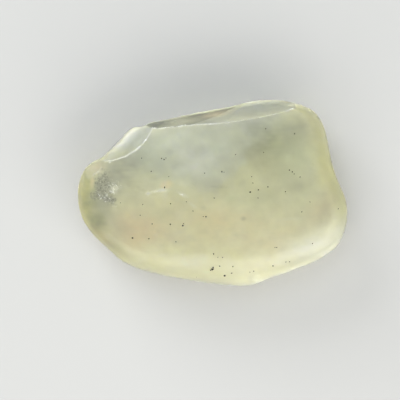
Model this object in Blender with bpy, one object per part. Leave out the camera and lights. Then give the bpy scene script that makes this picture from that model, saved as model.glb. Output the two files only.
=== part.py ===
"""A palm-sized piece of Libyan desert glass, lying on its back.

The stone is one lump of natural glass: a thick tablet with a worn, rounded rim, whose upper side was
struck by flakes long ago. The outline and the two faces make the blank, and each flake scar is a
shallow hollow of a large sphere that is cut from it.

Frame: +X along the length, +Y towards the flaked side, +Z up out of the broad front face. The origin
is the middle of the box at its foot. Lengths below are in millimetres, and the mesh is in metres.
"""

import math

import bmesh
import bpy
import numpy as np

MM = 0.001

# Outline
# Points on the widest line of the stone, anticlockwise from its right end.
OUTLINE = [
    (32.0, -4.3),
    (31.6, -1.8),
    (30.7, 0.8),
    (29.4, 3.8),
    (28.2, 7.6),
    (27.5, 11.0),
    (26.7, 14.8),
    (25.2, 18.0),
    (23.4, 19.8),
    (21.3, 20.7),
    (18.4, 21.6),
    (14.9, 22.1),
    (11.8, 22.1),
    (8.2, 21.6),
    (4.4, 20.6),
    (-0.6, 19.8),
    (-5.4, 18.8),
    (-10.1, 17.7),
    (-14.4, 16.7),
    (-16.9, 15.8),
    (-18.5, 15.6),
    (-19.8, 14.9),
    (-22.0, 12.7),
    (-24.4, 10.2),
    (-26.7, 8.2),
    (-28.7, 7.2),
    (-30.2, 5.9),
    (-31.4, 3.3),
    (-32.0, -0.7),
    (-31.6, -4.1),
    (-30.6, -6.7),
    (-28.9, -9.2),
    (-24.4, -13.7),
    (-21.6, -16.1),
    (-17.5, -18.0),
    (-10.1, -19.9),
    (0.0, -21.5),
    (7.4, -22.1),
    (9.6, -21.8),
    (12.5, -20.7),
    (19.6, -18.1),
    (27.2, -14.5),
    (29.6, -12.5),
    (31.1, -9.5),
]

# Rim
# How far in from the outline the front and the back start to turn down, by angle in degrees.
FRONT_TURN = [
    (0, 4.4),
    (30, 4.2),
    (45, 2.6),
    (60, 1.2),
    (130, 1.0),
    (155, 1.6),
    (172, 3.2),
    (200, 4.0),
    (235, 6.5),
    (270, 9.0),
    (305, 7.5),
    (335, 5.5),
]
BACK_TURN = [(0, 6.5), (60, 6.0), (130, 5.0), (180, 7.0), (235, 8.0), (290, 9.0)]
WIDEST_HEIGHT = [(0, 8.2), (60, 8.0), (120, 7.6), (180, 7.2), (235, 6.8), (290, 7.0)]
RIM_FULLNESS = 2.3  # 2 is an ellipse, and more is squarer

# Faces
THICKNESS = 19.0
FRONT_SUMMIT = (3.0, 5.0)  # where the front face is highest
FRONT_FALL = (0.0032, 0.0048)  # drop per square millimetre along X and Y
BACK_SUMMIT = (0.5, -0.5)
BACK_RISE = (0.0042, 0.0075)
FLAT_DEPTH = 0.45  # what the flat spot takes off the lowest point of the back
SWELL_HEIGHT = 0.10  # each of the soft swells that the wind left on both faces
SWELL_LENGTHS = (31.0, 23.0, 17.0, 13.0)
GOLDEN_ANGLE = 2.39996

# Wind-worn hollows in the back: where each lies, its radius and its depth
BACK_HOLLOWS = [
    (-18.0, 4.0, 11.0, 1.3),
    (17.0, -7.0, 12.0, 1.5),
    (12.5, 11.5, 9.0, 1.1),
    (-9.0, -12.0, 8.5, 1.0),
    (25.0, 4.5, 5.5, 0.6),
]

# Flake scars
# Each is a point on the scar, the way it faces (azimuth from +X, and tilt from straight up, in
# degrees), and the radius of the hollow.
FLAKE_SCARS = {
    "left_bevel": ((-4.9, 17.3, 12.9), 98.0, 73.0, 104.0),
    "right_bevel": ((9.0, 19.4, 13.1), 99.0, 65.5, 128.0),
    "corner_scallop": ((-20.9, 11.4, 13.7), 123.5, 44.0, 15.5),
    "end_facet": ((-28.3, 5.3, 14.7), 140.0, 44.0, 15.0),
}

# Mesh density
COLUMNS = 112
FACE_ROWS = 9
RIM_ROWS = 7
CUTTER_FINENESS = 5


def around(table, angle):
    """A value that changes smoothly round the stone, through the (degrees, value) pairs of a table."""
    pairs = sorted((math.radians(degrees) % math.tau, value) for degrees, value in table)
    knots, values = np.array(pairs).T
    knots = np.concatenate([knots[-2:] - math.tau, knots, knots[:2] + math.tau])
    values = np.concatenate([values[-2:], values, values[:2]])
    slopes = np.gradient(values, knots)
    turn = np.mod(angle, math.tau)
    low = np.searchsorted(knots, turn, side="right") - 1
    span = knots[low + 1] - knots[low]
    t = (turn - knots[low]) / span
    rise = values[low + 1] - values[low]
    start, end = slopes[low] * span, slopes[low + 1] * span
    return values[low] + t * start + t**2 * (3 * rise - 2 * start - end) + t**3 * (start + end - 2 * rise)


def outline_radius(angle):
    """Distance from the middle of the stone to its widest line."""
    polar = [(math.degrees(math.atan2(y, x)), math.hypot(x, y)) for x, y in OUTLINE]
    return around(polar, angle)


def swells(x, y, phase):
    """Low, soft waves in several directions, each shorter than the one before."""
    height = np.zeros_like(x)
    for number, length in enumerate(SWELL_LENGTHS):
        way = phase + number * GOLDEN_ANGLE
        height += SWELL_HEIGHT * np.sin(math.tau / length * (x * math.cos(way) + y * math.sin(way)) + 3 * way)
    return height


def front_height(x, y):
    """The front face: a low dome with soft swells."""
    across, along = x - FRONT_SUMMIT[0], y - FRONT_SUMMIT[1]
    return THICKNESS - FRONT_FALL[0] * across**2 - FRONT_FALL[1] * along**2 + swells(x, y, 0.4)


def back_height(x, y):
    """The back face: a bowl that dips FLAT_DEPTH below the floor, where the flat spot is cut."""
    across, along = x - BACK_SUMMIT[0], y - BACK_SUMMIT[1]
    height = BACK_RISE[0] * across**2 + BACK_RISE[1] * along**2 - FLAT_DEPTH + swells(x, y, 1.9)
    for middle_x, middle_y, radius, depth in BACK_HOLLOWS:
        spread = ((x - middle_x) ** 2 + (y - middle_y) ** 2) / radius**2
        height += depth * np.clip(1 - spread, 0, None) ** 2
    return height


def blank_rings():
    """The rings of the blank from the front pole to the back pole, each an array of points."""
    angle = np.arange(COLUMNS) * math.tau / COLUMNS
    edge = outline_radius(angle)
    widest = around(WIDEST_HEIGHT, angle)
    rings = []
    for height, turn_table, order in ((front_height, FRONT_TURN, 1), (back_height, BACK_TURN, -1)):
        turn = around(turn_table, angle)
        half = []
        for row in range(1, FACE_ROWS + 1):
            reach = (edge - turn) * (row / FACE_ROWS)
            x, y = reach * np.cos(angle), reach * np.sin(angle)
            half.append(np.stack([x, y, height(x, y)], axis=1))
        for row in range(1, RIM_ROWS + 1):
            bend = math.pi / 2 * row / RIM_ROWS
            reach = edge - turn * (1 - math.sin(bend) ** (2 / RIM_FULLNESS))
            x, y = reach * np.cos(angle), reach * np.sin(angle)
            share = max(math.cos(bend), 0.0) ** (2 / RIM_FULLNESS)
            half.append(np.stack([x, y, widest + (height(x, y) - widest) * share], axis=1))
        # Both halves end on the widest line, so the back leaves its copy out.
        rings += half if order > 0 else half[-2::-1]
    return rings


def blank_mesh():
    """The blank as a closed mesh: rings bridged by quads, a fan at each pole, and the flat spot cut."""
    shape = bmesh.new()
    loops = [[shape.verts.new(point * MM) for point in ring] for ring in blank_rings()]
    origin = np.zeros(1)
    front_pole = shape.verts.new((0, 0, float(front_height(origin, origin)[0]) * MM))
    back_pole = shape.verts.new((0, 0, float(back_height(origin, origin)[0]) * MM))
    for i in range(COLUMNS):
        j = (i + 1) % COLUMNS
        shape.faces.new((front_pole, loops[0][i], loops[0][j]))
        for upper, lower in zip(loops, loops[1:]):
            shape.faces.new((upper[i], lower[i], lower[j], upper[j]))
        shape.faces.new((back_pole, loops[-1][j], loops[-1][i]))
    everything = shape.verts[:] + shape.edges[:] + shape.faces[:]
    cut = bmesh.ops.bisect_plane(
        shape, geom=everything, plane_co=(0, 0, 0), plane_no=(0, 0, -1), clear_outer=True
    )
    rim = [item for item in cut["geom_cut"] if isinstance(item, bmesh.types.BMEdge)]
    bmesh.ops.edgeloop_fill(shape, edges=rim)
    bmesh.ops.recalc_face_normals(shape, faces=shape.faces)
    mesh = bpy.data.meshes.new("desert_glass")
    shape.to_mesh(mesh)
    shape.free()
    return mesh


def add_flake_scar(stone, name, point, azimuth, tilt, radius):
    """Cuts a hollow of a sphere, which touches point and whose middle lies the way the scar faces."""
    azimuth, tilt = math.radians(azimuth), math.radians(tilt)
    facing = (math.sin(tilt) * math.cos(azimuth), math.sin(tilt) * math.sin(azimuth), math.cos(tilt))
    shape = bmesh.new()
    bmesh.ops.create_icosphere(shape, subdivisions=CUTTER_FINENESS + (radius > 50), radius=radius * MM)
    mesh = bpy.data.meshes.new(name)
    shape.to_mesh(mesh)
    shape.free()
    cutter = bpy.data.objects.new(name, mesh)
    cutter.location = [(p + radius * f) * MM for p, f in zip(point, facing)]
    cutter.hide_render = True
    cutter.display_type = "WIRE"
    bpy.context.scene.collection.objects.link(cutter)
    cut = stone.modifiers.new(name, "BOOLEAN")
    cut.operation = "DIFFERENCE"
    cut.solver = "EXACT"
    cut.object = cutter


def glass_material():
    """Pale yellow-green glass, clouded by a wind-worn skin."""
    material = bpy.data.materials.new("desert_glass")
    material.use_nodes = True
    shader = material.node_tree.nodes["Principled BSDF"]
    shader.inputs["Base Color"].default_value = (0.62, 0.62, 0.34, 1.0)
    shader.inputs["Roughness"].default_value = 0.4
    shader.inputs["Metallic"].default_value = 0.0
    shader.inputs["IOR"].default_value = 1.46
    shader.inputs["Transmission Weight"].default_value = 0.6
    return material


def main():
    for old in list(bpy.data.objects):
        bpy.data.objects.remove(old)
    stone = bpy.data.objects.new("desert_glass", blank_mesh())
    bpy.context.scene.collection.objects.link(stone)
    stone.data.materials.append(glass_material())
    stone.data.shade_smooth()
    stone.data.set_sharp_from_angle(angle=math.radians(30))
    for name, (point, azimuth, tilt, radius) in FLAKE_SCARS.items():
        add_flake_scar(stone, name, point, azimuth, tilt, radius)


main()
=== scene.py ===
"""Dresses the piece of desert glass: its worn surface, the glass itself, its specks and its bruises.

The stone is one closed surface, worked out as whole arrays from two parameters: the turn round the stone
and the run down its side, from the middle of the front face to the middle of the back. Lengths in the
shape functions are in millimetres, and they become metres when a mesh is made.

Frame: +X along the length, +Y towards the flaked side, +Z up out of the broad front face.
"""

import math

import bpy
import numpy as np
from bpy.props import FloatProperty, FloatVectorProperty, IntProperty, PointerProperty
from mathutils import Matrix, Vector


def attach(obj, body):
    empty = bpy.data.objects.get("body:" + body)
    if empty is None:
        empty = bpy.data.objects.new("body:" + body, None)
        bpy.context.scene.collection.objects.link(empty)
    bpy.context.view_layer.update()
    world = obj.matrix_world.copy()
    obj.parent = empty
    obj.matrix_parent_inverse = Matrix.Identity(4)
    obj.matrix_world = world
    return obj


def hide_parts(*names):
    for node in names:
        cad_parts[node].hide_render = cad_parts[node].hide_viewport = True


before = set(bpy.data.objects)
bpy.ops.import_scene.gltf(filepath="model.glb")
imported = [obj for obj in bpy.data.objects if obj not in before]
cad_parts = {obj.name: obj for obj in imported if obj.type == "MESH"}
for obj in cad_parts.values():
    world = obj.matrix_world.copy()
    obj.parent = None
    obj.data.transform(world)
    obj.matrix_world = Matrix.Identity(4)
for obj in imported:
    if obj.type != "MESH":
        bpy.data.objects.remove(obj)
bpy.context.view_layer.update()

bl_info = {
    "name": "Desert glass",
    "version": (1, 0, 0),
    "blender": (4, 5, 0),
    "location": "3D View > Sidebar > Desert glass",
    "description": "Makes a wind-worn piece of natural desert glass on a plain stage",
    "category": "Add Mesh",
}

MM = 0.001

# Shape of the blank, as in the part: points on the widest line, anticlockwise from the right end
OUTLINE = [
    (32.0, -4.3), (31.6, -1.8), (30.7, 0.8), (29.4, 3.8), (28.2, 7.6), (27.5, 11.0),
    (26.7, 14.8), (25.2, 18.0), (23.4, 19.8), (21.3, 20.7), (18.4, 21.6), (14.9, 22.1),
    (11.8, 22.1), (8.2, 21.6), (4.4, 20.6), (-0.6, 19.8), (-5.4, 18.8), (-10.1, 17.7),
    (-14.4, 16.7), (-16.9, 15.8), (-18.5, 15.6), (-19.8, 14.9), (-22.0, 12.7), (-24.4, 10.2),
    (-26.7, 8.2), (-28.7, 7.2), (-30.2, 5.9), (-31.4, 3.3), (-32.0, -0.7), (-31.6, -4.1),
    (-30.6, -6.7), (-28.9, -9.2), (-24.4, -13.7), (-21.6, -16.1), (-17.5, -18.0), (-10.1, -19.9),
    (0.0, -21.5), (7.4, -22.1), (9.6, -21.8), (12.5, -20.7), (19.6, -18.1), (27.2, -14.5),
    (29.6, -12.5), (31.1, -9.5),
]

# How far in from the outline the front and the back start to turn down, by angle in degrees
FRONT_TURN = [
    (0, 4.4), (30, 4.2), (45, 2.6), (60, 1.2), (130, 1.0), (155, 1.6),
    (172, 3.2), (200, 4.0), (235, 6.5), (270, 9.0), (305, 7.5), (335, 5.5),
]
BACK_TURN = [(0, 6.5), (60, 6.0), (130, 5.0), (180, 7.0), (235, 8.0), (290, 9.0)]
WIDEST_HEIGHT = [(0, 8.2), (60, 8.0), (120, 7.6), (180, 7.2), (235, 6.8), (290, 7.0)]
RIM_FULLNESS = 2.3
RIM_LENGTH = 0.82  # length of the rim's curve, as a share of its width and its height together

# The faces: where each has its summit, and how fast it bends along X and Y, per squared millimetre
THICKNESS = 19.0
FRONT_SUMMIT = (3.0, 5.0)
FRONT_FALL = (0.0032, 0.0048)
BACK_SUMMIT = (0.5, -0.5)
BACK_RISE = (0.0042, 0.0075)
FLAT_DEPTH = 0.45  # how far the back would bulge below the flat that the stone rests on
SWELL_HEIGHT = 0.10
SWELL_LENGTHS = (31.0, 23.0, 17.0, 13.0)
FRONT_PHASE = 0.4  # direction of the first swell of each face, in radians
BACK_PHASE = 1.9
GOLDEN_ANGLE = 2.39996

# Hollows in the back: where each lies, its radius and its depth
BACK_HOLLOWS = [
    (-18.0, 4.0, 11.0, 1.3),
    (17.0, -7.0, 12.0, 1.5),
    (12.5, 11.5, 9.0, 1.1),
    (-9.0, -12.0, 8.5, 1.0),
    (25.0, 4.5, 5.5, 0.6),
]

# Flake scars: a point on each, the azimuth and tilt in degrees that it faces, and its radius
FLAKE_SCARS = {
    "left_bevel": ((-4.9, 17.3, 12.9), 98.0, 73.0, 104.0),
    "right_bevel": ((9.0, 19.4, 13.1), 99.0, 65.5, 128.0),
    "corner_scallop": ((-20.9, 11.4, 13.7), 123.5, 44.0, 15.5),
    "end_facet": ((-28.3, 5.3, 14.7), 140.0, 44.0, 15.0),
}

HEART_HEIGHT = 8.0  # height of the places that the ways to the scars start from
HEART_INSET = 0.35  # how much nearer to the axis they lie than a point on the widest line does
FAR = 1000.0  # where a way that misses a scar is said to meet it
WEAR_LEAST = 0.3  # least wear of an edge, as a share of the mean
BORDER = 0.22  # how far past the first surface another one may lie and still lend its colour
BLANK, CORNER, END = 0, 3, 4  # places of some surfaces among the shares: the blank, then the scars

# Shell-like waves in each scar: where they spread from, their length and their height
SHELL_WAVES = [
    (-8.0, 17.0, 18.0, 1.9, 0.012),
    (12.0, 20.0, 18.0, 2.3, 0.016),
    (-17.5, 10.0, 17.5, 2.4, 0.008),
    (-24.0, 4.0, 16.5, 2.0, 0.015),
]

# Colour of the glass in each scar, and how far that colour takes over: painted shade darkens the two
# bevels, a painted highlight whitens the chipped corner, and the end facet takes a little of a peach tint
SCAR_TINTS_AND_PAINTED_LIGHT = [
    ((0.04, 0.043, 0.042), 1.0),
    ((0.51, 0.54, 0.52), 1.0),
    ((0.97, 1.0, 1.0), 0.95),
    ((0.9, 0.84, 0.62), 0.3),
]
SCAR_FADES = (0.65, 0.3)  # width over which that colour sets in, at a scar's foot and at its top
SCAR_FADE_HEIGHTS = (12.5, 14.4)  # heights of the foot and the top

# Hollow in the scar of the chipped corner. It sets in between two distances from the sharp edge, and
# between two heights it comes to run on over the rim below the scar.
CHIP_SPOT = (-20.6, 11.3, 13.2)
CHIP_RADIUS = 4.4
CHIP_DEPTH = 0.18
CHIP_FADE = (0.1, 2.0)
CHIP_FOOT = (13.5, 12.0)

# The flat that the stone rests on: its mean and least height over the floor, and how softly it ends
FLAT_HEIGHT = 0.04
FLAT_LEAST = 0.005
FLAT_BLEND = 0.1

# Surface grid
COLUMNS = 520
ROWS_TO_RIDGE = 72
ROWS_TO_EDGE = 50
ROWS_BACK = 66
DENSE_SIDE = math.radians(112)  # the columns stand closer on the flaked side
DENSE_GAIN = 0.35
ROW_PINCH = 0.35  # row spacing at the ridge, as a share of the mean
POLE_ROWS = 5  # rows next to a pole that get no pits

# The line where the front breaks off: how finely it is looked for, and how far it is evened out
RIDGE_STEPS = 900
RIDGE_REACH = 9  # in columns
RIDGE_SPREAD = 3.5
RIDGE_INSET = 0.7  # where no scar cuts the front, its place as a share of the turn
RIDGE_DROP = 8.0  # rough height of the rim there

# Uneven ripples: height, wavelength in millimetres, seed, and how much they are pressed along X, Y and Z
EVEN = (1.0, 1.0, 1.0)
RIPPLES = {
    "wear": (0.45, 2.0, 41, EVEN),
    "flat": (0.015, 1.4, 42, EVEN),
    "wind": (1.0, 5.0, 11, EVEN),
    "fine_wind": (0.5, 2.2, 12, EVEN),
    "shell": (0.6, 4.0, 14, EVEN),
    "crackle": (0.03, 0.8, 13, EVEN),
    "rim": (0.3, 6.0, 34, EVEN),
    "mottle": (0.08, 5.0, 31, (0.7, 1.5, 1.0)),
    "fine_mottle": (0.07, 1.8, 32, (0.7, 1.5, 1.0)),
    "streak": (0.02, 10.0, 35, (0.7, 1.4, 1.0)),
    "fine_streak": (0.02, 5.0, 36, (0.8, 1.3, 1.0)),
    "patch": (0.28, 1.1, 37, EVEN),
    "grain": (0.5, 0.7, 33, EVEN),
}
RIPPLE_WAVES = 26
RIPPLE_SPREAD = (0.7, 1.5)  # wavelength of each wave, as a multiple of its kind's own

# Where the relief and the colours set in: nothing at the first place, and full at the second
RELIEF_HEIGHTS = (0.2, 1.2)
SHELL_FADE = (0.2, 1.5)  # distances from a sharp edge
CRACKLE_HEIGHTS = (12.0, 14.0)
FRONT_HEIGHTS = (9.0, 13.0)
RIM_GLOW_FADE = (1.5, 0.3)  # distances from the outline, as multiples of the turn
STREAK_RISE = (-8.0, 6.0)  # along Y
SIDE_START = (42.0, 52.0)  # degrees round the stone, at both ends of the flaked side
SIDE_END = (165.0, 155.0)
COLD_HEIGHTS = (15.0, 14.0)
EDGE_HEIGHTS = (14.6, 15.6)
EDGE_START = (-28.0, -23.0)  # along X

# Strengths of the rim's painted glow, of the streaks, of the crackled patches and their painted shade, and of
# the pale edges, partly worn white and partly a painted highlight
RIM_GLOW_STRENGTH = 0.85
STREAK_LEAST = 0.6
STREAK_GAIN = 1.5
FROST_GAIN = 1.6
FROST_PAINTED_SHADE = 0.85
PLAIN_FROST = 0.5  # frost of the skin outside the crackled patches
EDGE_PALENESS = 0.8
EDGE_WIDTH = 0.1
EDGE_GRAIN = 0.8  # mean and greatest share that the grain of an edge leaves of its paleness
EDGE_GRAIN_MOST = 1.2

# Wind pits: their number, radii and depths as shares of the radius, and how shallow the low ones are
PIT_COUNT = 320
PIT_SEED = 21
PIT_RADII = (0.3, 1.0)
PIT_DEPTHS = (0.03, 0.09)
LOW_PIT_HEIGHT = 10.0
LOW_PIT_SHARE = 0.4

# Nicks in the sharp edges; left of SHARP_FROM the edges are worn round and have none
NICK_COUNT = 70
NICK_SEED = 22
NICK_EDGE = (0.12, 14.5)  # greatest distance from the edge, and least height
NICK_SHIFT = 0.1  # how far they stray from the edge
NICK_RADII = (0.25, 0.6)
NICK_DEPTHS = (0.1, 0.25)
SHARP_FROM = -25.0

# Grains: points round and down each, how lumpy they are, and how much they are stretched
GRAIN_ROUND = 7
GRAIN_DOWN = 5
GRAIN_LUMPS = (0.7, 1.25)
GRAIN_STRETCH = (0.7, 1.3)
GRAIN_NOISE = 600
GRAIN_TONES = ((0.35, 0.6), (0.65, 1.4))  # place in the noise, and brightness there

# Specks that show in the front face: X, Y and the width that shows, in millimetres
SPECKS = [
    (-0.1, -17.8, 0.38), (0.1, -17.4, 0.2), (-0.5, -18.1, 0.16), (2.8, -19.4, 0.32),
    (-11.2, 1.3, 0.2), (-18.7, -10.5, 0.21), (-7.0, -7.6, 0.22), (-6.8, -7.1, 0.13),
    (-9.9, -7.3, 0.17), (14.1, -17.1, 0.2), (4.4, -18.8, 0.17), (8.7, 0.2, 0.18),
    (16.9, 0.3, 0.14), (18.5, 4.9, 0.2), (17.8, 5.3, 0.16), (18.9, 4.4, 0.14),
    (-16.6, 8.1, 0.12), (-11.9, 8.0, 0.16), (-11.3, 7.8, 0.16), (-10.9, 8.1, 0.12),
    (-14.3, 5.0, 0.12), (-1.9, 4.6, 0.14), (-10.2, 3.8, 0.12), (2.1, 4.9, 0.14),
    (2.6, 4.8, 0.12), (-2.2, -5.5, 0.12), (-1.6, -5.5, 0.12), (-14.9, -10.7, 0.15),
    (-8.6, -11.4, 0.15), (-4.6, -4.2, 0.12), (-6.1, -2.1, 0.12), (-9.8, -2.5, 0.14),
    (-21.5, -2.3, 0.12), (-16.3, -2.7, 0.12), (-16.9, -5.2, 0.14), (-14.1, -7.2, 0.12),
    (0.2, -14.2, 0.15), (1.2, -15.0, 0.12), (2.3, -15.0, 0.12), (1.6, -17.1, 0.14),
    (4.7, -17.2, 0.14), (8.7, -18.5, 0.14), (9.6, -18.3, 0.12), (17.1, -16.1, 0.14),
    (18.0, -16.1, 0.12), (23.3, -11.8, 0.14), (14.5, -12.7, 0.12), (14.9, -12.7, 0.12),
    (10.5, -1.2, 0.12), (0.3, -1.2, 0.12), (10.6, 0.7, 0.16), (12.8, 1.4, 0.12),
    (20.3, 3.7, 0.12), (19.0, 13.8, 0.16), (12.3, 14.9, 0.14), (5.3, 8.9, 0.12),
    (11.8, 9.4, 0.12), (9.0, 3.8, 0.12), (9.3, 2.3, 0.12), (29.3, -3.7, 0.14),
    (20.7, -4.4, 0.12), (22.6, -2.1, 0.12), (-3.8, -19.8, 0.12), (7.3, -20.2, 0.12),
]
SPECK_GIRTH = 2.25  # whole width of a speck, as a multiple of the width that shows
SPECK_SINK = (0.15, 0.38)  # how deep those on the front and elsewhere lie, as shares of their width
SPECK_SEED = 7
HIDDEN_SPECKS = (0.1, 0.26)  # widths that show of the specks elsewhere, and their least height
HIDDEN_LOWEST = 0.5
UP_FACING = 0.2  # least upward part of a normal on the front

# Spots on the front, most of them painted light and shade: the painted glow of the lower half and of its
# bottom edge, the painted shade of the upper right, of the top edge, of the left end and over a glint at the
# bottom, the painted sky reflection at the upper left, the painted highlight of the chipped corner and the
# painted warm light from below; the rest are the glass's own wisps, smudges and stains. Colour, strength,
# X, Y, half length, half width, turn in degrees
SPOTS_OF_TINT_AND_PAINTED_LIGHT = [
    ("cream_glow", 0.95, 0.0, -13.0, 40.0, 18.0, -4.0),
    ("cool_sheen_and_spots", 0.6, -10.0, 10.0, 22.0, 10.0, 5.0),
    ("olive_shade", 0.75, 15.0, 11.5, 13.0, 9.5, -12.0),
    ("shade", 0.55, 26.6, -3.6, 7.5, 3.4, 80.0),
    ("warm_light_and_stain", 0.3, 25.0, -4.0, 7.0, 5.0, 60.0),
    ("cream_glow", 0.5, 14.0, -9.3, 12.0, 4.0, 6.0),
    ("cream_glow", 0.6, 0.0, -14.0, 14.0, 3.6, 0.0),
    ("shade", 0.2, -15.1, 1.8, 6.0, 3.4, 0.0),
    ("shade", 0.75, -21.5, 5.0, 9.0, 6.0, 40.0),
    ("shade", 0.5, -26.9, -0.6, 2.8, 1.1, -5.0),
    ("shade", 0.8, -28.8, -2.1, 0.6, 0.5, 0.0),
    ("shade", 0.4, -25.3, -1.8, 3.8, 3.0, 0.0),
    ("shade", 0.6, -24.2, 1.4, 3.6, 3.6, 0.0),
    ("olive_shade", 0.5, -26.3, -7.4, 4.0, 2.8, -50.0),
    ("olive_shade", 0.4, -26.8, 6.6, 4.5, 3.0, 30.0),
    ("shade", 0.15, 22.0, 18.0, 6.0, 4.0, -20.0),
    ("cool_sheen_and_spots", 0.3, 8.5, -1.5, 9.0, 4.0, 0.0),
    ("warm_light_and_stain", 0.6, -27.2, 5.7, 3.4, 1.9, 20.0),
    ("shade", 0.5, -26.0, -1.5, 6.5, 4.0, 70.0),
    ("olive_shade", 0.75, -29.0, -0.5, 7.5, 5.0, 85.0),
    ("olive_shade", 0.9, -27.3, -7.0, 4.2, 2.8, -50.0),
    ("shade", 0.3, 4.0, 16.3, 27.0, 4.0, 6.0),
    ("shade", 0.25, -18.5, -0.5, 6.0, 4.0, 0.0),
    ("shade", 0.12, 19.0, 2.5, 10.0, 6.0, 0.0),
    ("cool_sheen_and_spots", 0.5, 19.0, 9.0, 9.0, 9.0, 0.0),
    ("warm_light_and_stain", 0.4, -18.5, -12.0, 5.0, 3.0, -40.0),
    ("warm_light_and_stain", 0.75, -17.5, -8.5, 9.5, 6.0, -10.0),
    ("warm_light_and_stain", 0.35, 2.0, -6.3, 10.0, 3.4, 0.0),
    ("warm_light_and_stain", 0.85, -10.8, 1.9, 2.1, 1.5, 20.0),
    ("milk_and_glow", 0.85, 23.5, -12.4, 11.0, 5.5, 24.0),
    ("straw_glow", 0.85, -1.0, -17.5, 32.0, 7.5, -3.0),
    ("milk_and_glow", 0.25, -27.0, 5.5, 4.0, 2.4, 20.0),
    ("olive_shade", 0.5, -29.6, 4.2, 3.0, 2.4, 50.0),
    ("olive_shade", 0.4, -25.2, -11.0, 8.0, 3.2, -42.0),
    ("warm_light_and_stain", 0.3, -26.0, -10.0, 5.0, 2.6, -45.0),
    ("shade", 0.26, -23.2, -8.2, 9.5, 5.5, -45.0),
    ("olive_shade", 0.35, -25.4, -5.2, 3.2, 2.6, 60.0),
    ("shade", 0.24, 22.3, 14.5, 5.5, 4.0, -40.0),
    ("shade", 0.15, 9.0, -18.8, 8.0, 3.6, 0.0),
    ("shade", 0.5, 10.1, -20.0, 2.3, 2.0, 0.0),
    ("milk_and_glow", 0.35, -6.0, -16.4, 9.0, 3.6, -4.0),
    ("milk_and_glow", 0.6, -5.0, 9.0, 12.0, 6.5, 0.0),
    ("shade", 0.5, -24.2, 0.6, 5.2, 4.0, 60.0),
    ("milk_and_glow", 0.5, -22.9, 0.9, 1.5, 1.4, 0.0),
    ("warm_light_and_stain", 0.45, -28.1, 2.6, 2.3, 0.9, 82.0),
    ("milk_and_glow", 0.6, -27.1, 4.7, 1.6, 0.35, 28.0),
    ("milk_and_glow", 0.6, -24.0, 7.2, 0.6, 0.35, 80.0),
    ("milk_and_glow", 0.95, -15.0, -0.1, 1.1, 0.5, 5.0),
    ("milk_and_glow", 0.8, -15.0, -0.1, 1.0, 0.45, 90.0),
    ("milk_and_glow", 0.9, -12.7, 0.5, 2.1, 0.6, 8.0),
    ("milk_and_glow", 0.85, -11.6, 0.6, 1.8, 0.8, -8.0),
    ("milk_and_glow", 0.85, -7.0, -0.4, 2.1, 0.7, -25.0),
    ("milk_and_glow", 0.6, -4.6, -2.9, 1.8, 0.6, -35.0),
    ("shade", 0.35, 18.8, 15.1, 4.2, 2.2, 10.0),
    ("shade", 0.25, 12.6, 14.9, 1.6, 1.2, 0.0),
    ("shade", 0.2, 6.6, 2.1, 1.7, 1.3, 0.0),
    ("shade", 0.25, -2.2, -3.5, 1.1, 0.9, 0.0),
    ("shade", 0.3, -13.6, 3.4, 2.2, 1.0, 10.0),
    ("shade", 0.22, -10.0, 9.5, 1.4, 1.1, 0.0),
    ("shade", 0.18, -9.0, 6.0, 1.6, 1.0, 40.0),
    ("shade", 0.5, 7.1, -6.0, 1.0, 0.8, 20.0),
    ("shade", 0.3, 1.2, 1.4, 3.6, 0.45, -4.0),
    ("cool_sheen_and_spots", 0.5, 0.7, 10.4, 2.6, 1.7, 0.0),
    ("cool_sheen_and_spots", 0.45, 6.8, 7.0, 1.8, 1.4, 0.0),
    ("cool_sheen_and_spots", 0.4, 17.2, 8.1, 2.2, 2.0, 0.0),
    ("cool_sheen_and_spots", 0.35, 0.0, 4.6, 2.2, 1.2, 0.0),
    ("cool_sheen_and_spots", 0.35, 4.2, -1.2, 2.4, 1.3, 20.0),
    ("milk_and_glow", 0.25, 18.6, -6.0, 4.5, 0.6, 2.0),
    ("warm_light_and_stain", 0.5, 0.8, 18.9, 5.0, 1.6, 10.0),
    ("shade", 0.8, -7.5, 16.9, 5.5, 1.6, 8.0),
    ("milk_and_glow", 0.6, -21.8, 12.3, 3.2, 1.5, 45.0),
    ("shade", 0.3, -18.5, 11.8, 3.6, 1.1, 50.0),
]

# How pale the rim's painted glow is, by angle in degrees; elsewhere the painted glow is yellow
RIM_GLOW_PALENESS = [
    (6, 0.25), (22, 0.3), (36, 0.4), (60, 0.7), (110, 0.9), (160, 0.8),
    (168, 0.5), (175, 0.1), (190, 0.05), (205, 0.15), (225, 0.4), (270, 0.6),
    (310, 0.9), (340, 0.85), (352, 0.4),
]

# Patches of crackled skin at the left end, darkened with painted shade: X, Y, half length, half width, turn
# in degrees
FROSTED = [
    (-25.7, 2.0, 3.8, 2.6, 85.0),
    (-26.3, -0.6, 2.6, 1.4, 0.0),
    (-24.0, -1.6, 2.0, 1.3, -30.0),
]

# Soft lights: name, azimuth, elevation, side in metres, share of the main power, colour, and whether the
# glass mirrors it
SOFTBOXES = [
    ("window", 128, 24, 0.65, 0.95, (0.98, 0.99, 1.0), True),
    ("sky", 110, 74, 0.6, 0.27, (0.9, 0.97, 1.0), True),
    ("fill", -54, 24, 1.1, 1.5, (1.0, 0.97, 0.92), False),
    ("front", -115, 28, 1.0, 0.8, (1.0, 0.97, 0.92), False),
]

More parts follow.
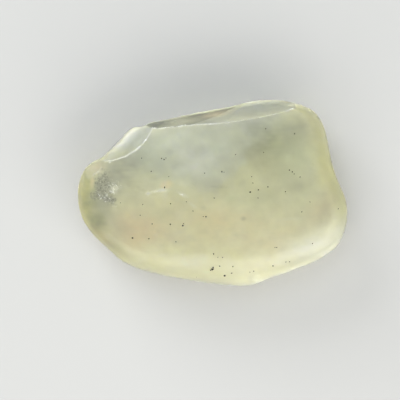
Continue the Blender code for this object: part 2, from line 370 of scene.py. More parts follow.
# Bruises of white crushed glass: X, Y, half length, half width, turn, number of flakes and their size
BRUISES = [
    (-23.1, 0.4, 0.5, 0.35, 0.0, 24, 0.13),
    (-22.9, 1.3, 0.7, 0.6, 30.0, 72, 0.12),
    (-25.3, -0.6, 1.3, 0.6, 10.0, 50, 0.12),
    (-23.5, -2.4, 0.6, 0.7, 0.0, 30, 0.12),
    (-25.6, 2.4, 0.8, 1.0, 0.0, 20, 0.1),
    (-23.6, 3.3, 0.3, 0.2, 0.0, 8, 0.09),
    (-15.0, -0.1, 0.4, 0.06, 5.0, 12, 0.1),
    (-15.0, -0.1, 0.3, 0.06, 95.0, 10, 0.1),
    (-12.7, 0.5, 0.8, 0.14, 8.0, 16, 0.09),
    (-7.4, -0.4, 0.8, 0.12, -25.0, 16, 0.1),
    (-27.1, 4.7, 0.9, 0.07, 28.0, 18, 0.1),
    (-24.0, 7.2, 0.2, 0.06, 80.0, 8, 0.1),
    (9.5, 20.3, 2.2, 0.4, 8.0, 22, 0.09),
]
FLAKE_SIZES = (0.5, 1.5)  # as multiples of the size that the bruise gives
FLAKE_SINK = (-0.15, 0.25)  # how deep they lie, as shares of their size

# Crumbs along the sharp edges: where they lie, how far they stray, how deep they lie and their sizes
CRUMB_EDGE = (0.08, 14.8)  # greatest distance from the edge, and least height
CRUMB_STRAY = (0.08, 0.08, 0.05)
CRUMB_SINK = 0.05
CRUMB_SIZES = (0.06, 0.2)

GLASS_IOR = 1.46
ROUGHNESS_SPREAD = 0.18  # how far the skin's roughness runs to both sides with the frost

# Stage, in metres: the floor's side, how far off the lights stand, and the colour of the sky
FLOOR_SIDE = 3.0
LIGHT_DISTANCE = 1.0
SKY_COLOUR = (0.93, 0.96, 1.0)

# The photo's view: its side and the pixel over the origin, and a pixel in metres at the widest line
PHOTO_SIDE = 400
ORIGIN_PIXEL = (212.5, 193.1)
PIXEL = 0.0002379
WIDEST_LEVEL = 0.008


def around(table, angle):
    """A value that changes smoothly round the stone, through the (degrees, value) pairs of a table.

    Between two pairs it is the cubic that meets both values and their slopes, and a slope is the mean
    rise to the neighbours on both sides.
    """
    pairs = sorted((math.radians(degrees) % math.tau, value) for degrees, value in table)
    knots, values = np.array(pairs).T
    knots = np.concatenate([knots[-2:] - math.tau, knots, knots[:2] + math.tau])
    values = np.concatenate([values[-2:], values, values[:2]])
    slopes = np.gradient(values, knots)
    turn = np.mod(angle, math.tau)
    low = np.searchsorted(knots, turn, side="right") - 1
    span = knots[low + 1] - knots[low]
    t = (turn - knots[low]) / span
    rise = values[low + 1] - values[low]
    start, end = slopes[low] * span, slopes[low + 1] * span
    return values[low] + t * start + t**2 * (3 * rise - 2 * start - end) + t**3 * (start + end - 2 * rise)


def outline_radius(angle):
    """Distance from the middle of the stone to its widest line, smooth through the outline's points."""
    return around([(math.degrees(math.atan2(y, x)), math.hypot(x, y)) for x, y in OUTLINE], angle)


def swells(x, y, phase):
    """Low waves, each shorter than the last and a golden angle further round: the sum of their sines."""
    height = np.zeros(np.broadcast(x, y).shape)
    for number, length in enumerate(SWELL_LENGTHS):
        way = phase + number * GOLDEN_ANGLE
        height += SWELL_HEIGHT * np.sin(math.tau / length * (x * math.cos(way) + y * math.sin(way)) + 3 * way)
    return height


def front_height(x, y):
    """The front face: THICKNESS less a share of the squared distance from its summit, plus the swells."""
    across, along = x - FRONT_SUMMIT[0], y - FRONT_SUMMIT[1]
    dome = THICKNESS - FRONT_FALL[0] * across**2 - FRONT_FALL[1] * along**2
    return dome + swells(x, y, FRONT_PHASE)


def back_height(x, y):
    """The back face: a bowl with swells, and for each hollow its depth times (1 - d^2 / radius^2)^2."""
    across, along = x - BACK_SUMMIT[0], y - BACK_SUMMIT[1]
    bowl = BACK_RISE[0] * across**2 + BACK_RISE[1] * along**2 - FLAT_DEPTH
    height = bowl + swells(x, y, BACK_PHASE)
    for middle_x, middle_y, radius, depth in BACK_HOLLOWS:
        spread = ((x - middle_x) ** 2 + (y - middle_y) ** 2) / radius**2
        height += depth * np.clip(1 - spread, 0, None) ** 2
    return height


def blank_half(angle, run, height, turn_table):
    """Half of the blank, from the middle of a face (run 0) to the widest line (run 1).

    Run is the length gone along the profile, as a share of all of it. The profile goes out along the
    face to where the rim turns, then follows a quarter of a superellipse down to the widest line:
    reach = edge - turn (1 - sin(bend)^(2/n)), height = widest + (face - widest) cos(bend)^(2/n).
    Also gives how far out each point lies, as a share of the way to the outline.
    """
    edge, widest, turn = outline_radius(angle), around(WIDEST_HEIGHT, angle), around(turn_table, angle)
    drop = np.abs(height(edge * np.cos(angle), edge * np.sin(angle)) - widest)
    face, rim = edge - turn, RIM_LENGTH * (turn + drop)
    gone = run * (face + rim)
    bend = np.clip((gone - face) / rim, 0, 1) * math.pi / 2
    on_rim = edge - turn * (1 - np.sin(bend) ** (2 / RIM_FULLNESS))
    reach = np.where(gone < face, gone, on_rim)
    x, y = reach * np.cos(angle), reach * np.sin(angle)
    share = np.clip(np.cos(bend), 0, 1) ** (2 / RIM_FULLNESS)
    z = widest + (height(x, y) - widest) * share
    return np.stack([x, y, z], axis=-1), reach / edge


def scar_spheres():
    """Middle and radius of the sphere that each flake scar is a part of.

    The middle lies one radius from the scar's point, in the direction that the scar faces.
    """
    spheres = []
    for point, azimuth, tilt, radius in FLAKE_SCARS.values():
        azimuth, tilt = math.radians(azimuth), math.radians(tilt)
        facing = (math.sin(tilt) * math.cos(azimuth), math.sin(tilt) * math.sin(azimuth), math.cos(tilt))
        spheres.append((np.array(point) + radius * np.array(facing), radius))
    return spheres


def way_to_scars(points, outwardness):
    """The way from the heart of the stone to each point, and how far along it each scar is met.

    The heart of a point lies at HEART_HEIGHT, and nearer to the axis than the point is, by a share of
    HEART_INSET times the outwardness squared. A scar is met where the line from the heart enters its
    sphere, by the quadratic formula. Where the line misses the sphere, the meeting is far outside.
    """
    inset = 1 - HEART_INSET * outwardness**2
    level = np.full(inset.shape, HEART_HEIGHT)
    hearts = np.stack([points[..., 0] * inset, points[..., 1] * inset, level], axis=-1)
    way = points - hearts
    length = np.linalg.norm(way, axis=-1)
    way = way / np.maximum(length, 1e-6)[..., None]
    meetings = []
    for middle, radius in scar_spheres():
        offset = hearts - middle
        along = (way * offset).sum(-1)
        root = along**2 - (offset**2).sum(-1) + radius**2
        met = -along - np.sqrt(np.maximum(root, 0))
        meetings.append(np.where((root > 0) & (met > 0), met, FAR))
    return hearts, way, length, meetings


def smooth_least(a, b, blend):
    """The lesser of a and b, lowered where they cross by blend/4 (1 - |a-b|/blend)^2."""
    return np.minimum(a, b) - blend / 4 * np.clip(1 - np.abs(a - b) / blend, 0, None) ** 2


def flaked(points, outwardness, wear):
    """The points drawn back to the nearest scar on their way out, with worn edges between the scars.

    Also gives, for each point, how far the blank and the nearest scar lie apart there (nothing on an
    edge), and the share that each surface has in it: first the blank, then the scars in their order. A
    share is 1 well inside its surface, and it passes to the next surface over BORDER on each side.
    """
    hearts, way, length, meetings = way_to_scars(points, outwardness)
    wear = wear * np.clip(1 + ripples(points, "wear"), WEAR_LEAST, None)
    reach = length
    for met in meetings:
        reach = smooth_least(reach, met, wear)
    gap = np.abs(np.min(meetings, axis=0) - length)
    ways = np.stack([length, *meetings])
    nearness = step(BORDER, 0.0, ways - ways.min(axis=0))
    return hearts + way * reach[..., None], gap, nearness / nearness.sum(axis=0)


def ridge_runs(angle):
    """For each column, the run at which the front face breaks off: at a scar, or else where the rim turns.

    The line is then evened out over the neighbouring columns, with weights exp(-(d / RIDGE_SPREAD)^2).
    """
    run = np.linspace(0, 1, RIDGE_STEPS)[None, :]
    points, outwardness = blank_half(angle, run, front_height, FRONT_TURN)
    _, _, length, meetings = way_to_scars(points, outwardness)
    spare = np.min(meetings, axis=0) - length
    first = np.argmax(spare < 0, axis=1)
    has_scar = (spare < 0).any(axis=1)
    column = np.arange(len(first))
    before = np.maximum(first - 1, 0)
    high, low = spare[column, before], spare[column, first]
    met = run[0, before] + (run[0, 1] - run[0, 0]) * np.clip(high / np.maximum(high - low, 1e-9), 0, 1)
    edge, turn = outline_radius(angle[:, 0]), around(FRONT_TURN, angle[:, 0])
    found = np.where(has_scar, met, (edge - turn * RIDGE_INSET) / (edge + RIDGE_DROP))
    reach = np.arange(-RIDGE_REACH, RIDGE_REACH + 1)
    weight = np.exp(-((reach / RIDGE_SPREAD) ** 2))
    return sum(w * np.roll(found, r) for r, w in zip(reach, weight / weight.sum()))[:, None]


def ripples(points, kind):
    """Uneven smooth relief between about -2 and 2 times the height of its kind.

    It is a sum of sines, each in a random direction and at about the wavelength of the kind, divided by
    the square root of half their number.
    """
    height, length, seed, pressing = RIPPLES[kind]
    rng = np.random.default_rng(seed)
    points = points * pressing
    total = np.zeros(points.shape[:-1])
    for _ in range(RIPPLE_WAVES):
        way = rng.normal(size=3)
        way *= math.tau / (np.linalg.norm(way) * length * rng.uniform(*RIPPLE_SPREAD))
        total += np.sin(points @ way + rng.uniform(0, math.tau))
    return height * (total * math.sqrt(2 / RIPPLE_WAVES))


def near(points, spot, radius):
    """1 at a spot and 0 beyond its radius, falling as (1 - d^2 / radius^2)^2."""
    spread = ((points - np.array(spot)) ** 2).sum(-1) / radius**2
    return np.clip(1 - spread, 0, None) ** 2


def step(low, high, value):
    """0 at low, 1 at high, 3 t^2 - 2 t^3 between them, and level beyond them; low may be the greater."""
    t = np.clip((value - low) / (high - low), 0, 1)
    return t * t * (3 - 2 * t)


def crowded(share):
    """A share x of a way with its points crowded at the start: x (p + (1 - p) x), with p = ROW_PINCH."""
    return share * (ROW_PINCH + (1 - ROW_PINCH) * share)


def grid_normals(grid):
    """Outward normals of a grid of points: the cross product of its two central differences."""
    round_way = np.roll(grid, -1, axis=0) - np.roll(grid, 1, axis=0)
    down = np.gradient(grid, axis=1)
    normal = np.cross(down, round_way)
    normal[:, 0] = (0, 0, 1)
    normal[:, -1] = (0, 0, -1)
    return normal / np.maximum(np.linalg.norm(normal, axis=-1), 1e-9)[..., None]


def bare_stone(wear):
    """The stone before its fine relief, as a grid of points (column, row) from pole to pole.

    Columns stand at turn - gain sin(turn - dense side), so that they crowd on the flaked side. Rows run
    from the front pole to the ridge, on to the widest line, and over the back, and they crowd at the
    ridge. What would lie under the flat is lifted to it.
    """
    turn = np.arange(COLUMNS) * math.tau / COLUMNS
    angle = (turn - DENSE_GAIN * np.sin(turn - DENSE_SIDE))[:, None]
    ridge = ridge_runs(angle)
    to_ridge = 1 - np.linspace(0, 1, ROWS_TO_RIDGE, endpoint=False)[None, :]
    to_edge = np.linspace(0, 1, ROWS_TO_EDGE)[None, :]
    inner = ridge * (1 - crowded(to_ridge))
    outer = ridge + (1 - ridge) * crowded(to_edge)
    run = np.concatenate([inner, outer], axis=1)
    front, front_out = blank_half(angle, run, front_height, FRONT_TURN)
    back_run = np.linspace(1, 0, ROWS_BACK + 1)[None, 1:] * np.ones_like(angle)
    back, back_out = blank_half(angle, back_run, back_height, BACK_TURN)
    points = np.concatenate([front, back], axis=1)
    outwardness = np.concatenate([front_out, back_out], axis=1)
    points, gap, shares = flaked(points, outwardness, wear)
    flat = np.clip(FLAT_HEIGHT + ripples(points, "flat"), FLAT_LEAST, None)
    points[..., 2] = -smooth_least(-points[..., 2], -flat, FLAT_BLEND)
    return points, gap, shares


def worn_stone(look):
    """The finished surface: the bare stone, moved along its normals by its fine relief.

    The relief is the sum of wind ripples, shell-like waves height sin(2 pi distance / length) in the
    scars, the hollow of the chipped corner, crackle in the frosted patches, pits and nicks.
    """
    grid, gap, shares = bare_stone(look.ridge_wear / MM)
    level = grid[..., 2]
    relief = look.ripple_height / MM * (ripples(grid, "wind") + ripples(grid, "fine_wind"))
    bend, in_scar = ripples(grid, "shell"), step(*SHELL_FADE, gap)
    for share, (x, y, z, length, height) in zip(shares[1:], SHELL_WAVES):
        away = np.linalg.norm(grid - (x, y, z), axis=-1)
        relief += height * np.sin(math.tau * away / length + bend) * share * in_scar
    in_chip = np.maximum(step(*CHIP_FADE, gap) * shares[CORNER], step(*CHIP_FOOT, level))
    relief -= CHIP_DEPTH * near(grid, CHIP_SPOT, CHIP_RADIUS) * in_chip
    crackle = step(*CRACKLE_HEIGHTS, level) * ripples(grid, "crackle")
    for spot in FROSTED:
        relief += spot_share(grid, spot) * crackle
    for spot, radius, depth in [*pits(grid), *nicks(grid, gap)]:
        relief -= depth * near(grid, spot, radius)
    relief *= step(*RELIEF_HEIGHTS, level)
    return grid + grid_normals(grid) * relief[..., None], gap, shares


def pits(grid):
    """Small wind pits: a seeded choice of places, even by area, each with a radius and a depth."""
    rng = np.random.default_rng(PIT_SEED)
    inner = slice(POLE_ROWS, -POLE_ROWS)
    sides = np.cross(np.roll(grid, -1, axis=0) - grid, np.gradient(grid, axis=1))
    area = np.linalg.norm(sides, axis=-1)[:, inner]
    chosen = rng.choice(area.size, PIT_COUNT, p=area.ravel() / area.sum())
    for spot in grid[:, inner].reshape(-1, 3)[chosen]:
        radius = rng.uniform(*PIT_RADII)
        share = LOW_PIT_SHARE if spot[2] < LOW_PIT_HEIGHT else 1
        yield spot, radius, radius * rng.uniform(*PIT_DEPTHS) * share


def sharp_edge(grid, gap, width, lowest):
    """The points that lie nearer to a sharp edge than a width, above a height and right of SHARP_FROM."""
    return grid[(gap < width) & (grid[..., 2] > lowest) & (grid[..., 0] > SHARP_FROM)]


def nicks(grid, gap):
    """Small chips out of the sharp edges: seeded places on them, each with a radius and a depth."""
    rng = np.random.default_rng(NICK_SEED)
    edge = sharp_edge(grid, gap, *NICK_EDGE)
    for spot in edge[rng.integers(0, len(edge), NICK_COUNT)]:
        radius = rng.uniform(*NICK_RADII)
        yield spot + rng.normal(scale=NICK_SHIFT, size=3), radius, radius * rng.uniform(*NICK_DEPTHS)


def spot_share(grid, spot):
    """1 in the middle of an oval spot and 0 outside it, falling as (1 - d^2)^2.

    A spot is X, Y, half length, half width and turn in degrees; d is the distance from its middle, as a
    share of the way to the oval's edge.
    """
    x, y, half_length, half_width, turn = spot
    turn = math.radians(turn)
    across, along = grid[..., 0] - x, grid[..., 1] - y
    u = (across * math.cos(turn) + along * math.sin(turn)) / half_length
    v = (along * math.cos(turn) - across * math.sin(turn)) / half_width
    return np.clip(1 - u**2 - v**2, 0, None) ** 2


def blend(colour, other, share):
    """A colour moved towards another one by a share of the way, at each point."""
    return colour + (np.array(other) - colour) * np.clip(share, 0, 1)[..., None]


def tint_and_painted_light(grid, gap, shares, look):
    """Colour of the glass at each point, with painted light and shade in it, and how frosted its skin is.

    The body colour gives way, in this order, to the colour of each scar (painted shade on the bevels, a
    painted highlight on the chipped corner), to the painted yellow or whitish glow of the rim near the
    outline, to each spot of tint or of painted light and shade inside its oval, to the painted cold shade
    of the line under the flaked side, to the painted shade of the crackled patches and to the whitened
    edges, worn and painted with a highlight. Streaks make it lighter or darker after the spots.
    """
    x, y, z = np.moveaxis(grid, -1, 0)
    angle = np.arctan2(y, x)
    front = step(*FRONT_HEIGHTS, z)
    colour = np.broadcast_to(np.array(look.body_colour), grid.shape)

    # Painted shade on the two bevels and a painted highlight on the chipped corner, setting in away from each
    # scar's edges
    foot, top = SCAR_FADES
    inside = step(0, 1, gap / (foot + (top - foot) * step(*SCAR_FADE_HEIGHTS, z)))
    for share, (tint, strength) in zip(shares[1:], SCAR_TINTS_AND_PAINTED_LIGHT):
        colour = blend(colour, tint, strength * share * inside)

    # Painted glow along the rim: yellow at both ends, whitish on the flaked side and along the bottom
    inset = outline_radius(angle) - np.hypot(x, y) + ripples(grid, "rim")
    rim = step(*RIM_GLOW_FADE, inset / around(FRONT_TURN, angle)) * (shares[BLANK] + shares[END])
    paleness = around(RIM_GLOW_PALENESS, angle)
    colour = blend(colour, look.rim_glow_colour, RIM_GLOW_STRENGTH * rim * (1 - paleness))
    colour = blend(colour, look.milk_and_glow_colour, RIM_GLOW_STRENGTH * rim * paleness)

    mottle = 1 + ripples(grid, "mottle") + ripples(grid, "fine_mottle")
    # Each spot blends in its colour: painted light and shade for most spots, the glass's own marks for the
    # rest
    for name, strength, *spot in SPOTS_OF_TINT_AND_PAINTED_LIGHT:
        share = strength * front * spot_share(grid, spot) * mottle
        colour = blend(colour, getattr(look, name + "_colour"), share)
    streaks = ripples(grid, "streak") + ripples(grid, "fine_streak")
    streaks *= STREAK_LEAST + STREAK_GAIN * step(*STREAK_RISE, y)
    colour = colour * (1 + front * (1 - rim) * streaks)[..., None]

    # Painted cold shade on the thin line of rim under the flaked side, toning down the glow of light through
    # it
    flaked_side = step(*SIDE_START, np.degrees(angle)) * step(*SIDE_END, np.degrees(angle))
    colour = blend(colour, look.cold_shade_colour, flaked_side * shares[BLANK] * step(*COLD_HEIGHTS, z))

    frost = np.zeros(z.shape)
    uneven = ripples(grid, "patch")
    for spot in FROSTED:
        share = spot_share(grid, spot)
        share = np.clip(FROST_GAIN * share + uneven * (share > 0), 0, 1) * front
        # The crackled patches darkened with painted shade
        colour = blend(colour, look.shade_colour, FROST_PAINTED_SHADE * share)
        frost += share

    # Whitened line along the sharp top edges: partly worn white, partly a painted highlight
    grain = np.clip(EDGE_GRAIN + ripples(grid, "grain"), 0, EDGE_GRAIN_MOST)
    worn = EDGE_PALENESS * np.exp(-((gap / EDGE_WIDTH) ** 2)) * step(*EDGE_HEIGHTS, z) * step(*EDGE_START, x)
    colour = blend(colour, look.milk_and_glow_colour, worn * grain)
    return np.clip(colour, 0, 1), np.clip(PLAIN_FROST + (1 - PLAIN_FROST) * frost, 0, 1)


def listed(grid):
    """The values of a grid from pole to pole in one list: first pole, inner ones by column, last pole."""
    inner = grid[:, 1:-1].reshape(-1, *grid.shape[2:])
    return np.concatenate([grid[:1, 0], inner, grid[:1, -1]])


def grid_faces(columns, rows):
    """Faces of a grid listed so, whose columns go round: quads between the poles, triangles at them."""
    ring = rows - 2
    last = columns * ring + 1
    here = np.arange(columns)[:, None] * ring + 1
    there = np.roll(here, -1, axis=0)
    down = np.arange(ring - 1)[None, :]
    quads = np.stack([here + down, here + down + 1, there + down + 1, there + down], axis=-1)
    top = np.stack([np.zeros_like(here), here, there], axis=-1)
    bottom = np.stack([np.full_like(here, last), there + ring - 1, here + ring - 1], axis=-1)
    return quads.reshape(-1, 4), np.concatenate([top, bottom]).reshape(-1, 3)


def closed_mesh(name, points, quads, triangles):
    """A smooth mesh from points in millimetres, and from its quads and its triangles."""
    corners = np.concatenate([quads.ravel(), triangles.ravel()])
    sizes = np.repeat([4, 3], [len(quads), len(triangles)])
    mesh = bpy.data.meshes.new(name)
    mesh.vertices.add(len(points))
    mesh.vertices.foreach_set("co", (points * MM).astype(np.float32).ravel())
    mesh.loops.add(len(corners))
    mesh.loops.foreach_set("vertex_index", corners.astype(np.int32))
    mesh.polygons.add(len(sizes))
    mesh.polygons.foreach_set("loop_start", np.concatenate([[0], np.cumsum(sizes)[:-1]]).astype(np.int32))
    mesh.update(calc_edges=True)
    mesh.validate()
    mesh.shade_smooth()
    return mesh


def grain_mesh(name, middles, sizes, seed):
    """Many small lumpy grains in one mesh.

    Each is a small ball of points: its middle plus size/2 times (cos turn sin drop, sin turn sin drop,
    cos drop), stretched, made lumpy by a random factor per point, and turned at random.
    """
    rng = np.random.default_rng(seed)
    count = len(middles)
    turn = (np.arange(GRAIN_ROUND) * math.tau / GRAIN_ROUND)[:, None]
    drop = np.linspace(0, math.pi, GRAIN_DOWN)
    level = np.ones_like(turn) * np.cos(drop)
    ball = np.stack([np.cos(turn) * np.sin(drop), np.sin(turn) * np.sin(drop), level], axis=-1)
    lumps = rng.uniform(*GRAIN_LUMPS, (count, GRAIN_ROUND, GRAIN_DOWN, 1))
    lumps[:, :, 0] = lumps[:, :1, 0]
    lumps[:, :, -1] = lumps[:, :1, -1]
    stretch = rng.uniform(*GRAIN_STRETCH, (count, 1, 1, 3))
    axes = np.linalg.qr(rng.normal(size=(count, 3, 3)))[0]
    axes *= np.sign(np.linalg.det(axes))[:, None, None]
    shaped = ball[None] * lumps * stretch * (np.array(sizes)[:, None, None, None] / 2)
    shaped = np.einsum("nrdi,nij->nrdj", shaped, axes) + np.array(middles)[:, None, None, :]
    inner = shaped[:, :, 1:-1].reshape(count, -1, 3)
    points = np.concatenate([shaped[:, :1, 0], inner, shaped[:, :1, -1]], axis=1)
    shift = (np.arange(count) * points.shape[1])[:, None, None]
    quads, triangles = [faces + shift for faces in grid_faces(GRAIN_ROUND, GRAIN_DOWN)]
    return closed_mesh(name, points.reshape(-1, 3), quads.reshape(-1, 4), triangles.reshape(-1, 3))


def add_piece(name, mesh, material):
    """Puts a finished mesh into the scene as a piece that rides on the part."""
    piece = bpy.data.objects.new(name, mesh)
    bpy.context.scene.collection.objects.link(piece)
    mesh.materials.append(material)
    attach(piece, "root")
    return piece


def stone_surface():
    """Points, in millimetres, and outward normals of the finished stone."""
    stone = bpy.data.objects.get("worn_glass")
    if stone is None:
        raise RuntimeError("Make the stone first: this piece lies in its surface")
    points = np.empty(len(stone.data.vertices) * 3, np.float32)
    normals = np.empty_like(points)
    stone.data.vertices.foreach_get("co", points)
    stone.data.vertices.foreach_get("normal", normals)
    return points.reshape(-1, 3) / MM, normals.reshape(-1, 3)


def on_front(points, normals, spots):
    """The places on the front above some (X, Y) spots, and the outward normals there.

    The height and the normal are those of the front's point that is nearest as seen from above.
    """
    up = np.flatnonzero(normals[:, 2] > UP_FACING)
    flat = ((points[up][None, :, :2] - spots[:, None, :2]) ** 2).sum(-1)
    nearest = up[flat.argmin(axis=1)]
    return np.column_stack([spots[:, :2], points[nearest, 2]]), normals[nearest]


def scattered(bruises, rng):
    """Places, thickest in the middle of each bruise as in a bell curve, and sizes round its own."""
    spots, sizes = [], []
    for x, y, half_length, half_width, turn, count, size in bruises:
        turn = math.radians(turn)
        axes = np.array([(math.cos(turn), math.sin(turn)), (-math.sin(turn), math.cos(turn))])
        spots.append((x, y) + rng.normal(scale=(half_length, half_width), size=(count, 2)) @ axes)
        sizes.append(size * rng.uniform(*FLAKE_SIZES, count))
    return np.concatenate(spots), np.concatenate(sizes)


def new_material(name):
    """A new material, with its node tree and its main shader."""
    material = bpy.data.materials.new(name)
    material.use_nodes = True
    tree = material.node_tree
    return material, tree, tree.nodes["Principled BSDF"]


def set_inputs(tree, node, inputs):
    """Sets a node's inputs by name: another node's output is linked, and a plain value is written."""
    for name, value in inputs.items():
        if isinstance(value, bpy.types.NodeSocket):
            tree.links.new(value, node.inputs[name])
        else:
            node.inputs[name].default_value = value


def add_node(tree, kind, inputs, **settings):
    """Adds a shader node of a kind, with its settings and its inputs."""
    node = tree.nodes.new(kind)
    for name, value in settings.items():
        setattr(node, name, value)
    set_inputs(tree, node, inputs)
    return node


def add_noise(tree, inputs):
    """Adds a noise pattern on Object coordinates, and gives its output."""
    place = add_node(tree, "ShaderNodeTexCoord", {}).outputs["Object"]
    return add_node(tree, "ShaderNodeTexNoise", {"Vector": place, **inputs}).outputs["Fac"]


def mapped(tree, value, low, high, least, most):
    """A value moved in proportion from the span low to high onto least to most, and held in it."""
    spans = {"From Min": low, "From Max": high, "To Min": least, "To Max": most}
    return add_node(tree, "ShaderNodeMapRange", {"Value": value, **spans}).outputs["Result"]


def scaled(tree, colour, factor):
    """A colour times a factor."""
    inputs = {"Vector": colour, "Scale": factor}
    return add_node(tree, "ShaderNodeVectorMath", inputs, operation="SCALE").outputs["Vector"]


def glass_material(look):
    """Cloudy natural glass: clear enough to see into, tinted by its depth, under a wind-frosted skin."""
    material, tree, shader = new_material("desert_glass")
    # The tint carries painted light and shade along with the glass's own colours
    tint = add_node(tree, "ShaderNodeAttribute", {}, attribute_name="tint_and_painted_light").outputs["Color"]
    frost = add_node(tree, "ShaderNodeAttribute", {}, attribute_name="frost").outputs["Fac"]
    clouds = add_noise(tree, {"Scale": 420, "Detail": 6})
    crackle = add_noise(tree, {"Scale": 3000, "Detail": 5, "Roughness": 0.8})
    skin = add_noise(tree, {"Scale": 1400, "Detail": 4})

    mottled = scaled(tree, tint, mapped(tree, clouds, 0.3, 0.7, 0.92, 1.04))
    cracks = mapped(tree, crackle, 0.38, 0.66, 0.22, 1.5)
    in_patch = mapped(tree, frost, PLAIN_FROST, 1, 0, 1)
    amount = add_node(tree, "ShaderNodeMix", {"Factor": in_patch, "A": 1.0, "B": cracks}).outputs["Result"]
    smoothest = max(look.roughness - ROUGHNESS_SPREAD, 0)
    roughest = min(look.roughness + ROUGHNESS_SPREAD, 1)
    bump = add_node(tree, "ShaderNodeBump", {"Strength": 0.35, "Distance": 0.00004, "Height": skin})
    glass = {
        "Base Color": scaled(tree, mottled, amount),
        "Roughness": mapped(tree, frost, 0, 1, smoothest, roughest),
        "Normal": bump.outputs["Normal"],
        "IOR": GLASS_IOR,
        "Transmission Weight": look.clearness,
        "Subsurface Weight": 1.0,
        "Subsurface Radius": (1.0, 1.0, 0.6),
        "Subsurface Scale": look.milk_depth,
    }
    set_inputs(tree, shader, glass)

    depth = {"Color": (*look.depth_colour, 1), "Density": look.depth_density}
    volume = add_node(tree, "ShaderNodeVolumeAbsorption", depth).outputs["Volume"]
    set_inputs(tree, tree.nodes["Material Output"], {"Volume": volume})
    return material


def grain_material(name, colour, roughness):
    """Dull mineral, whose noise runs from a darker to a lighter tone of its colour."""
    material, tree, shader = new_material(name)
    ramp = add_node(tree, "ShaderNodeValToRGB", {"Fac": add_noise(tree, {"Scale": GRAIN_NOISE})})
    for stop, (position, tone) in zip(ramp.color_ramp.elements, GRAIN_TONES):
        stop.position = position
        stop.color = (*[min(part * tone, 1) for part in colour], 1)
    set_inputs(tree, shader, {"Base Color": ramp.outputs["Color"], "Roughness": roughness})
    return material


def colour_property(name, description, default):
    """A colour for a property group, with its parts between 0 and 1."""
    return FloatVectorProperty(
        name=name, description=description, default=default, min=0, max=1, subtype="COLOR"
    )


class StoneLook(bpy.types.PropertyGroup):
    ridge_wear: FloatProperty(
        name="Ridge wear",
        description="Width over which the edges between the flake scars are worn round",
        default=0.0003,
        min=0.0001,
        max=0.003,
        unit="LENGTH",
    )
    ripple_height: FloatProperty(
        name="Ripple height",
        description="Height of the fine waves that the wind left in the surface",
        default=0.00002,
        min=0,
        max=0.0003,
        unit="LENGTH",
    )
    clearness: FloatProperty(
        name="Clearness",
        description="Share of the light that passes through the glass and isn't scattered by its haze",
        default=0.88,
        min=0,
        max=1,
        subtype="FACTOR",
    )
    roughness: FloatProperty(
        name="Roughness",
        description="How frosted the skin is",
        default=0.38,
        min=0,
        max=1,
        subtype="FACTOR",
    )
    milk_depth: FloatProperty(
        name="Milk depth",
        description="How far light wanders in the haze",
        default=0.008,
        min=0.0001,
        max=0.05,
        unit="LENGTH",
    )
    depth_density: FloatProperty(
        name="Depth density",
        description="How fast the colour deepens with thickness, per metre",
        default=20,
        min=0,
        max=500,
    )
    depth_colour: colour_property("Depth colour", "Colour that thick glass takes on", (0.9, 0.89, 0.66))
    body_colour: colour_property("Body colour", "Colour of the faces", (0.78, 0.785, 0.6))
    # Painted yellow glow of the rim
    rim_glow_colour: colour_property("Rim colour", "Colour of the worn rim", (1.0, 0.94, 0.42))
    # Painted bluish reflection of the sky on the front near the flaked side, and small bluish spots
    cool_sheen_and_spots_colour: colour_property(
        "Cool colour", "Colour of the cool clouds near the flaked side", (0.795, 0.85, 0.655)
    )
    # Painted warm glow over the lower half of the front
    cream_glow_colour: colour_property(
        "Cream colour", "Colour of the warm pale half of the front", (0.985, 0.9, 0.68)
    )
    # Painted shade of most dark spots and of the crackled patches; the smallest dark spots are smudges in the
    # glass
    shade_colour: colour_property(
        "Shade colour", "Colour of the dark clouds and of the crackled skin", (0.36, 0.37, 0.32)
    )
    # Painted olive shade of the upper right and of the left end
    olive_shade_colour: colour_property("Olive colour", "Colour of the olive clouds", (0.3, 0.325, 0.21))
    # Painted bright glow along the bottom edge, across from the flaked side
    straw_glow_colour: colour_property(
        "Straw colour", "Colour of the bright edge across from the flaked side", (1.0, 0.97, 0.68)
    )
    # Painted cold shade of the thin line of rim under the flaked side
    cold_shade_colour: colour_property(
        "Cold colour", "Colour of the thin line of rim under the flaked side", (0.6, 0.64, 0.7)
    )
    # White of the milky wisps and of the worn edges, and also the painted whitish glow of the rim and of the
    # lower front and the painted highlight of the chipped corner
    milk_and_glow_colour: colour_property(
        "Pale colour", "Colour of the milky clouds and of the worn edges", (1.0, 1.0, 0.89)
    )
    # Painted warm light from below on the lower front, and the peach and brown stains
    warm_light_and_stain_colour: colour_property("Warm colour", "Colour of the warm clouds", (0.95, 0.78, 0.55))


class SpeckLook(bpy.types.PropertyGroup):
    colour: colour_property("Speck colour", "Colour of the dark mineral specks", (0.012, 0.01, 0.008))
    hidden_count: IntProperty(
        name="Specks elsewhere",
        description="Number of specks scattered over the sides and the back",
        default=70,
        min=0,
        max=500,
    )


class BruiseLook(bpy.types.PropertyGroup):
    colour: colour_property("Crushed colour", "Colour of the white crushed glass", (0.85, 0.85, 0.77))
    crumb_count: IntProperty(
        name="Edge crumbs",
        description="Number of crushed grains along the sharp edges",
        default=520,
        min=0,
        max=2000,
    )
    seed: IntProperty(
        name="Seed",
        description="Number that the scatter of the flakes starts from",
        default=5,
        min=0,
        max=1000,
    )


class StageLook(bpy.types.PropertyGroup):
    floor_colour: colour_property("Floor colour", "Colour of the floor", (0.335, 0.335, 0.328))
    light_power: FloatProperty(
        name="Light power",
        description="Power of the main soft light, which the others follow",
        default=12.6,
        min=0,
        max=100,
        unit="POWER",
    )
    sky_strength: FloatProperty(
        name="Sky strength",
        description="Strength of the even light from all round",
        default=0.71,
        min=0,
        max=5,
    )
    camera_height: FloatProperty(
        name="Camera height",
        description="Height of the camera over the floor",
        default=0.45,
        min=0.1,
        max=3,
        unit="LENGTH",
    )


